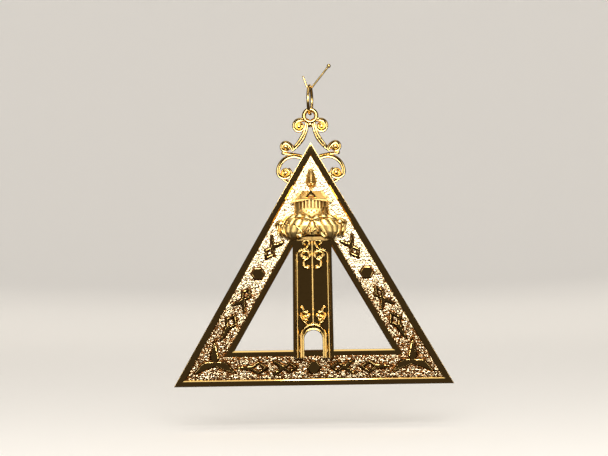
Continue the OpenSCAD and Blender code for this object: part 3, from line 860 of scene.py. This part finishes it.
# %% The drum
# Its front is flattened to a share of its depth, by a high power that leaves its sides on the plate.
# Each slot has a place across, and a foot and a head above the capital.
SLOT_PITCH = 0.96
SLOT_W = 0.42
SLOT_DEPTH = 0.55
FLUTE = 0.035
DRUM_FRONT = 0.8
DRUM_POWER = 6
drum_z = np.linspace(CAP_TOP - 0.5, CAP_TOP + DRUM_H, 64)
drum_flare = np.interp(drum_z - CAP_TOP, [0, 0.8, 1.6], [1.12, 1.03, 1.0])
drum_half = DRUM_W / 2 * drum_flare
drum_rings = half_round(drum_half, DRUM_D * drum_flare, drum_z, 190)
drum_x, drum_y, drum_up = np.moveaxis(drum_rings, -1, 0)
drum_up = drum_up - EDGE_Z
flat_front = 1 - np.abs(drum_x / drum_half[:, None]) ** DRUM_POWER
drum_y[:] = np.minimum(drum_y, BACK - DRUM_D * DRUM_FRONT * flat_front)
slots = [(k * SLOT_PITCH - 0.1, 2.2, 4.45) for k in range(-3, 5)] + [(3.2, 0.3, 2.1), (4.2, 0.3, 2.1)]


def slot_shares(x, z):
    """For each slot, the distance to its middle line as a share of its half-width."""
    return [stroke(x, z, [(x0, CAP_TOP + low), (x0, CAP_TOP + high)], SLOT_W)
            for x0, low, high in slots]


sunk = np.maximum.reduce([ramp(-near, -1.2, -0.6) for near in slot_shares(drum_x, drum_up)])
for k in range(-4, 5):
    near = np.hypot(drum_x - k * 0.72, drum_up - CAP_TOP - 1.35 + 0.4 * (k % 2)) / 0.2
    sunk = np.maximum(sunk, 0.5 * ramp(-near, -1.2, -0.6))
flute = FLUTE * np.cos(2 * np.pi * (drum_x + 0.1) / SLOT_PITCH)
flute *= ramp(drum_up, CAP_TOP + 1.6, CAP_TOP + 2.4)
drum_y += (SLOT_DEPTH * sunk + flute) * ramp(BACK - drum_y, 0.4, 1.0)
drum = shell(drum_rings)
print("the drum has", len(slots), "slots")

# %% The roof
# Across the roof, the outer stretches are its sides and what lies between the CORNERS is its front.
CORNERS = [-1, -0.92, 0.92, 1]
DROOP = 1.05
rise = np.linspace(0, 1, 40)[:, None]
across = np.linspace(-1, 1, 120)
off = np.abs(across)
roof_widths = [ROOF_W / 2, ROOF_W / 2 * 0.97, ROOF_W / 2 + (RIDGE_LEN - ROOF_W) / 2 * 0.42, RIDGE_LEN / 2]
roof_half = np.interp(rise, [0, 0.08, 0.4, 1], roof_widths)
roof_depth = np.interp(rise, [0, 0.1, 0.45, 1], [ROOF_D, ROOF_D, ROOF_D * 0.82, ROOF_D * 0.5])
roof_x = roof_half * np.interp(across, CORNERS, [-1, -0.8, 0.8, 1])
roof_y = BACK - roof_depth * np.interp(across, CORNERS, [0, 1, 1, 0])
droop = DROOP * (1 - ramp(off, 0.8, 0.93))
roof_z = EAVE_Z + droop * (1 - rise) + rise * ROOF_H
roof_front = ramp(-off, -0.95, -0.9)
hip = 0.16 * np.exp(-(((off - 0.9) / 0.02) ** 2))
eave = 0.25 * np.exp(-(((rise - 0.06) / 0.05) ** 2))
swirl_path = walk((-3.3, EAVE_Z + 2.1), 30, [(0.6, 50), (0.42, -250), (0.5, 140)])
swirl = round_top(stroke(roof_x, roof_z, swirl_path, 0.36))
bud = round_top(np.hypot(roof_x + 1.25, roof_z - EAVE_Z - 2.75) / 0.45)
roof_y = roof_y - (eave + 0.28 * swirl + 0.25 * bud) * roof_front - hip
roof = shell(placed(roof_x, roof_y, roof_z))

# %% The gable, two bars over a plain panel
GABLE = np.array([(-1.4, EAVE_Z + 1.35), (-0.1, EAVE_Z + 3.05), (1.2, EAVE_Z + 1.35)])
GABLE_BAR = 0.52
BAR_DEPTHS = np.array([0.3, 0.93, 0.97, 0.97, 0.93, 0.3])
PANEL_DEPTHS = np.array([[0.2], [0.86]])


def gable_bar(start, end):
    """Flat bar whose front stays upright while the roof behind it leans back."""
    t = np.linspace(-0.12, 1.05, 14)[:, None]
    way = end - start
    up = way / np.linalg.norm(way)
    side = np.array([-1, -1, -0.8, 0.8, 1, 1]) * GABLE_BAR / 2
    return shell(placed(start[0] + way[0] * t - up[1] * side, BACK - ROOF_D * BAR_DEPTHS,
                        start[1] + way[1] * t + up[0] * side))


gable_bars = [gable_bar(GABLE[0], GABLE[1]), gable_bar(GABLE[2], GABLE[1])]
gable_panel = shell(placed(GABLE[:, 0], BACK - ROOF_D * PANEL_DEPTHS, GABLE[:, 1] - 0.1))
print("the roof's ridge is", round(RIDGE_Z, 2), "mm above the plate's lower edge")

# %% The flame
flame_u = np.linspace(-1, 1, 61)
flame_v = np.linspace(0, 1, 72)[:, None]
flame_half = np.interp(flame_v, [0, 0.05, 0.13, 0.22, 0.34, 0.5, 0.65, 0.84, 0.96, 1],
                       [0.3, 0.58, 0.8, 0.94, 1, 0.9, 0.78, 0.6, 0.47, 0.3]) * FLAME_W / 2
scales = np.sin(np.pi * (4 * flame_u + 8 * flame_v)) * np.sin(np.pi * (4 * flame_u - 8 * flame_v))
flame_depth = flame_half * 1.15 * (1 - np.abs(flame_u) ** 1.25) + 0.35
flame_depth = flame_depth + 0.09 * scales * (1 - flame_u**2)
flame_depth = np.where(np.abs(flame_u) > 0.999, 0, flame_depth)
flame = shell(placed(flame_half * flame_u, BACK - flame_depth, FLAME_Z + flame_v * FLAME_H * 0.95))
OVER = np.radians(np.linspace(4, 176, 13))[:, None]
ROUND = turns(15)


def bead(x, y, z, radius):
    """Round bead about a point whose height is above the plate's lower edge."""
    ring = radius * np.sin(OVER)
    return shell(placed(x + ring * np.cos(ROUND), y + ring * np.sin(ROUND), z + radius * np.cos(OVER)))


def horn(side):
    """Small horn at the flame's tip, a cone bent outwards."""
    t = np.linspace(0, 1, 12)[:, None]
    b = turns(20)
    r = 0.26 * (1 - 0.85 * t)
    return shell(placed(side * (0.2 + 0.3 * t**0.7) + r * np.cos(b), BACK - 0.5 + r * np.sin(b),
                        FLAME_Z + FLAME_H * (0.84 + 0.155 * t)))


neck_t = np.linspace(0, 1, 10)
neck = shell(half_round(0.36 + 0.12 * np.cos(2 * np.pi * neck_t), 0.9 + 0 * neck_t,
                        RIDGE_Z - 0.6 + neck_t * (NECK_H + 0.8), 24))
flame_parts = [flame, neck, horn(-1), horn(1), bead(0, BACK - 1.1, FLAME_Z + FLAME_H * 0.86, 0.3),
               bead(-0.55, BACK - 1.7, FLAME_Z + 0.85, 0.42), bead(0.4, BACK - 1.7, FLAME_Z + 0.85, 0.42)]

# %% Fuse the tower and mark its finishes
# The capital and the lantern are dull, but for the gable's bars and the leaves' bright edges. Painted
# shade browns the flame, the capital's underside and the slots.
UNDERSIDE_SHADE = 2.2
SLOT_SHADE = 3
tower_parts = [shaft, bell, *leaves, *leaf_edges, drum, roof, gable_panel, *gable_bars, *flame_parts]
tower = fuse("tower_casting", tower_parts, [doorway])
tower_x, tower_y, tower_up = vectors_of(tower.data.vertices, "co").T / MM
tower_up = tower_up - EDGE_Z
satin = ramp(tower_up, CAP_LOW - 0.1, CAP_LOW + 0.1)
satin *= 1 - ramp(-stroke(tower_x, tower_up, GABLE, GABLE_BAR), -1.3, -1.05)
for width, points in EDGES:
    near = stroke(tower_x, tower_up, np.array(points) + [0, CAP_LOW], width)
    satin *= 1 - ramp(-near, -1.3, -1.0)
# Painted shade under the capital, over the flame and in the slots.
underside = ramp(-tower_up, -CAP_LOW - 2.8, -CAP_LOW - 0.4) * (tower_up > CAP_LOW - 0.05)
tarnish = ramp(tower_up, FLAME_Z + 1.1, FLAME_Z + 1.3) + UNDERSIDE_SHADE * underside
for near in slot_shares(tower_x, tower_up):
    tarnish += SLOT_SHADE * ramp(-near, -1.1, -0.8)
on_back = ramp(tower_y, BACK - 0.03, BACK - 0.01)
mark(tower.data, matt=satin, back=on_back, tarnish=np.minimum(tarnish, SLOT_SHADE))
finish_piece(tower, "jewel", tower_gilt, ["tower"])

# %% [markdown]
# ## The scrolled hanger
# The hanger is drawn like wrought iron: strands that sweep out from under the loop and curl up into
# scrolls with beads in their eyes. Each strand is one grooved section carried along its path, and the
# strands, beads, cross pieces and loop are fused and cut to sit astride the plate's apex.

# %% Strands, beads and cross pieces
HANGER_T = hanger_high[1] - hanger_low[1]
STRIP = 1.05
LOOP_RISE = 7.2
LOOP_BORE = 2.16
LOOP_WIRE = 1.2
LOOP_Z = APEX + LOOP_RISE
STRANDS = {
    "stem": ((0.125, 0.736), -85, [(1.347, 20), (1.458, 25), (1.167, 6)]),
    "top_curl": ((0.049, 0.796), 25, [(0.639, -35), (0.208, -130), (0.16, -150)]),
    "mid_curl": ((0.661, -0.264), 75, [(0.389, -50), (0.15, -210)]),
    "side_scroll": ((0.333, -0.583), 20, [(0, 0.111), (0.597, -105), (0.244, -135), (0.167, -110)]),
}
CROSS_BAR = np.array([(0.333, -0.5), (0.694, -0.431), (1.014, -0.389)])
END_FOOT = np.array([(0.708, -1.514), (0.875, -1.472), (1.056, -1.361)])
EDGE_BEADS = [(0.722, -1.222, STRIP * 0.88), (1.03, -0.385, 0.55)]


def both(path):
    """A path of the right side and its mirror image."""
    return path, mirrored(path)


def swept(path, side, front):
    """Coordinates of a section carried along a flat path: side lies across the path, front along y."""
    run = unit(np.gradient(path, axis=0))
    return path[:, :1] - run[:, 1:] * side, front, path[:, 1:] + run[:, :1] * side


def grooved_bar(path, width, depth, groove=0.26):
    """Bar with a rounded section and a groove along its front and back, carried along a flat path.

    The section is a superellipse: its two half-sizes are scaled by powers of cosine and sine, and
    near its middle the front and the back are pressed in.
    """
    path = even(path, 0.16)
    t = np.linspace(0, 1, len(path))
    width, depth = (np.interp(t, np.linspace(0, 1, len(v)), v)[:, None] for v in (width, depth))
    side = np.sign(np.cos(ROUND)) * np.abs(np.cos(ROUND)) ** 0.8
    front = np.sign(np.sin(ROUND)) * np.abs(np.sin(ROUND)) ** 0.7
    front = front * (1 - groove * np.exp(-((side / 0.34) ** 2)))
    x, y, z = swept(path, side * width / 2, front * depth / 2)
    return shell(placed(x, y, APEX + z))


def last_eye(start, heading, rows):
    """Middle of a path's last turn."""
    before = walk(start, heading, rows[:-1])
    end = heading + sum(turn for radius, turn in rows[:-1] if radius)
    return before[-1] + math.copysign(1, rows[-1][1]) * rows[-1][0] * direction(end + 90)


def button(x, z, radius, half_thick):
    """Round lens that fills the hollow of a scroll behind its bead."""
    ring = radius * np.sin(OVER)
    return shell(placed(x + ring * np.cos(ROUND), half_thick * np.cos(OVER), z + ring * np.sin(ROUND)))


strands = []
for name, (start, heading, rows) in STRANDS.items():
    width = STRIP * np.array([1, 1.5, 1] if name == "stem" else [1.1, 1.1, 1])
    thin = 0.5 if name in ("stem", "top_curl") else 0.92
    depth = HANGER_T * np.array([thin, 0.92, 0.92, 0.92, 0.86])
    for path in both(walk(start, heading, rows) * LOOP_RISE):
        strands.append(grooved_bar(path, width, depth))
    if name != "stem":
        x, z = last_eye(start, heading, rows) * LOOP_RISE
        for side in (-1, 1):
            strands.append(bead(side * x, 0, APEX + z, STRIP * 0.85))
            strands.append(button(side * x, APEX + z, STRIP * 1.3, HANGER_T * 0.34))
for cross_piece, wide in ((CROSS_BAR, 0.9), (END_FOOT, 0.95)):
    for path in both(cross_piece * LOOP_RISE):
        strands.append(grooved_bar(path, [wide * 0.9, wide, wide * 0.9], [HANGER_T * 0.8] * 2))
for side in (-1, 1):
    for x, z, radius in EDGE_BEADS:
        strands.append(bead(side * x * LOOP_RISE, 0, APEX + z * LOOP_RISE, radius))
print("the hanger has", len(strands), "strands, beads and cross pieces")

# %% The loop
loop_r = LOOP_BORE / 2 + LOOP_WIRE / 2 + LOOP_WIRE / 2 * np.cos(ROUND)
around = turns(5)[:, None]
loop_y = HANGER_T * 0.46 * np.sin(ROUND)
loop = hoop(placed(loop_r * np.cos(around), loop_y, LOOP_Z + loop_r * np.sin(around)))
junction = button(0, LOOP_Z - LOOP_BORE / 2 - LOOP_WIRE, 0.85, HANGER_T * 0.4)

# %% Fuse the hanger and cut its seat
SEAM = 0.05
seat_in = IN_RADIUS + SEAM
seat_x = np.array([-math.sqrt(3), math.sqrt(3), 0]) * seat_in
seat_z = np.array([-1, -1, 2]) * seat_in + IN_RADIUS
seat = shell(placed(seat_x, np.array([[-4.0], [4.0]]), seat_z))
hanger = fuse("hanger_casting", [loop, junction, *strands], [seat])
finish_piece(hanger, "jewel", hanger_gilt, ["scroll_hanger"])

# %% [markdown]
# ## The jump ring and the wire that it hangs from
# The ring is round wire bent into a circle, with the fine cut where it was closed. The wire over it is
# thinner, with a bend that the ring rides in, a short end and a long end with a ball.

# %% Jump ring
RING_WIRE = 0.85
RING_MID_D = 7.66
RING_TURN = math.radians(-8)
RING_CUT = 0.1
RING_CUT_DEG = 26
ring_mid_z = (ring_low[2] + ring_high[2]) / 2


def turned(points):
    """Turns points about the vertical by the ring's turn."""
    c = math.cos(RING_TURN)
    s = math.sin(RING_TURN)
    x, y, z = np.moveaxis(points, -1, 0)
    return stacked(x * c - y * s, x * s + y * c, z)


half_cut = math.degrees(RING_CUT / RING_MID_D)
cut_at = 180 - RING_CUT_DEG
ring_at = np.radians(np.linspace(cut_at + half_cut, cut_at + 360 - half_cut, 120))[:, None]
out = RING_MID_D / 2 + RING_WIRE / 2 * np.cos(ROUND)
ring_x = RING_WIRE / 2 * np.sin(ROUND)
ring_points = stacked(ring_x, out * np.cos(ring_at), out * np.sin(ring_at) + ring_mid_z)
jump_ring = mesh_object("jump_ring_wire", *shell(turned(ring_points)))
finish_piece(jump_ring, "ring", ring_gilt, ["jump_ring"])

# %% Hanging wire
HOOK_D = 0.52
BEND_R = 0.85
STUB = np.array([-1.8, 3.4])
BALL = np.array([5.3, 6.0])
BALL_D = 1.1


def leave_angle(point, side):
    """Angle on the bend at which the straight wire to a point leaves it."""
    v = point - [0, BEND_R]
    open_by = math.degrees(math.acos(BEND_R / np.linalg.norm(v)))
    return math.degrees(math.atan2(v[1], v[0])) + side * open_by


bend_at = np.radians(np.linspace(leave_angle(STUB, 1), leave_angle(BALL, -1) + 360, 30))
bend = np.stack([BEND_R * np.cos(bend_at), BEND_R * (1 + np.sin(bend_at))], 1)
hook_path = even(np.concatenate([[STUB], bend, [BALL]]), 0.12)
hook_a = turns(20)
hook_r = HOOK_D / 2 * (np.minimum(np.arange(len(hook_path)) + 1.5, 3) / 3)[:, None]
hook_points = stacked(*swept(hook_path, hook_r * np.cos(hook_a), -hook_r * np.sin(hook_a)))
ball_points, *ball_faces = bead(BALL[0], 0, BALL[1] - EDGE_Z, BALL_D / 2)
hook = fuse("hanging_wire_hook", [shell(turned(hook_points)), (turned(ball_points), *ball_faces)])
finish_piece(hook, "hanging_wire", wire_gilt, ["hook_wire"])

# %% [markdown]
# ## Floor, light and camera
# The stage is a pale bowl: a floor whose rim curves up all round, so that it is the same backdrop from
# every side. Polished metal shows whatever stands before it. A photographer would flag a pale room off
# with black card, and here the bowl is left out of what the metal mirrors. The room in front is then
# dim and keeps the flats dark. Three panels stand round the lens, just clear of what the flats mirror,
# and light up the matted ground, the leaves and the ribs. Soft boxes above and beside draw the bevels.

# %% Floor
FLOOR_GAP = 12.0
FLOOR_Z = EDGE_Z - FLOOR_GAP
TARGET = Vector((-2.1, 0, -37.8)) * MM
FLAT_R = 640.0
CURVE_R = 700.0
WALL_H = 900.0
PALE = (0.70, 0.68, 0.65, 1)
arc = np.radians(np.linspace(0, 90, 16))[1:]
bowl_r = np.concatenate([np.linspace(20, FLAT_R, 14), FLAT_R + CURVE_R * np.sin(arc), [FLAT_R + CURVE_R]])
bowl_z = np.concatenate([np.zeros(14), CURVE_R * (1 - np.cos(arc)), [CURVE_R + WALL_H]])[:, None]
bowl_a = turns(5)
steps = bowl_a.size
bowl = stacked(bowl_r[:, None] * np.cos(bowl_a), bowl_r[:, None] * np.sin(bowl_a), bowl_z + FLOOR_Z)
floor_points = np.concatenate([bowl.reshape(-1, 3), [[0, 0, FLOOR_Z]]])
j = np.arange(steps)
middle_fan = np.stack([j, (j + 1) % steps, np.full(steps, bowl_r.size * steps)], 1)
floor = mesh_object("floor", floor_points, grid_faces(bowl_r.size, steps)[:, ::-1], middle_fan)
floor.data.shade_smooth()
floor_paint, _ = new_material("floor_paint", {
    "Base Color": PALE, "Roughness": 0.9, "Specular IOR Level": 0.1,
    "Emission Color": PALE, "Emission Strength": 0.36})
floor.data.materials.append(floor_paint)
floor.visible_glossy = False
floor.visible_shadow = False

# %% Lights
WHITE = (1, 0.98, 0.95)
WARM = (1.0, 0.95, 0.86)


def soft_light(name, place, size, glow, colour):
    """Oblong area light at a place in millimetres, turned to the jewel. Glow is its own brightness.

    A surface of area A that sends the same glow L to all sides gives off L * pi * A watts.
    """
    light = bpy.data.lights.new(name, "AREA")
    light.shape = "RECTANGLE"
    light.size = size[0] * MM
    light.size_y = size[1] * MM
    light.energy = glow * math.pi * light.size * light.size_y
    light.color = colour
    lamp = bpy.data.objects.new(name, light)
    lamp.location = Vector(place) * MM
    lamp.rotation_euler = (TARGET - lamp.location).to_track_quat("-Z", "Y").to_euler()
    lamp.visible_camera = False
    scene.collection.objects.link(lamp)


soft_light("top_panel", (0, -700, 215), (420, 300), 12.0, WHITE)
soft_light("left_panel", (-375, -650, -20), (330, 320), 3.0, WHITE)
soft_light("right_panel", (375, -650, -20), (330, 320), 3.0, WHITE)
soft_light("overhead", (0, -180, 560), (520, 620), 1.1, WARM)
soft_light("ceiling_lamp", (9, -415, 540), (46, 120), 10, WARM)
soft_light("left_side", (-640, -200, 120), (160, 420), 0.5, WARM)
soft_light("right_side", (640, -200, 120), (160, 420), 0.5, WARM)
soft_light("behind", (0, 700, 220), (800, 480), 0.6, WARM)
world = bpy.data.worlds.new("dim_room")
world.use_nodes = True
room = world.node_tree.nodes["Background"].inputs
room["Color"].default_value = (0.045, 0.036, 0.028, 1)
room["Strength"].default_value = 1.0
scene.world = world
print("lights:", [item.name for item in bpy.data.lights])

# %% Camera
CAMERA_BACK = 750.0
VIEW_WIDTH = 164.8
ROLL = 0.85
optics = bpy.data.cameras.new("camera")
optics.sensor_width = 36
optics.lens = 36 * CAMERA_BACK / VIEW_WIDTH
optics.clip_start = 0.05
camera = bpy.data.objects.new("camera", optics)
camera.location = TARGET + Vector((0, -CAMERA_BACK * MM, 0))
camera.rotation_euler = (math.radians(90), math.radians(ROLL), 0)
scene.collection.objects.link(camera)
scene.camera = camera
scene.view_settings.view_transform = "Standard"
scene.view_settings.look = "None"
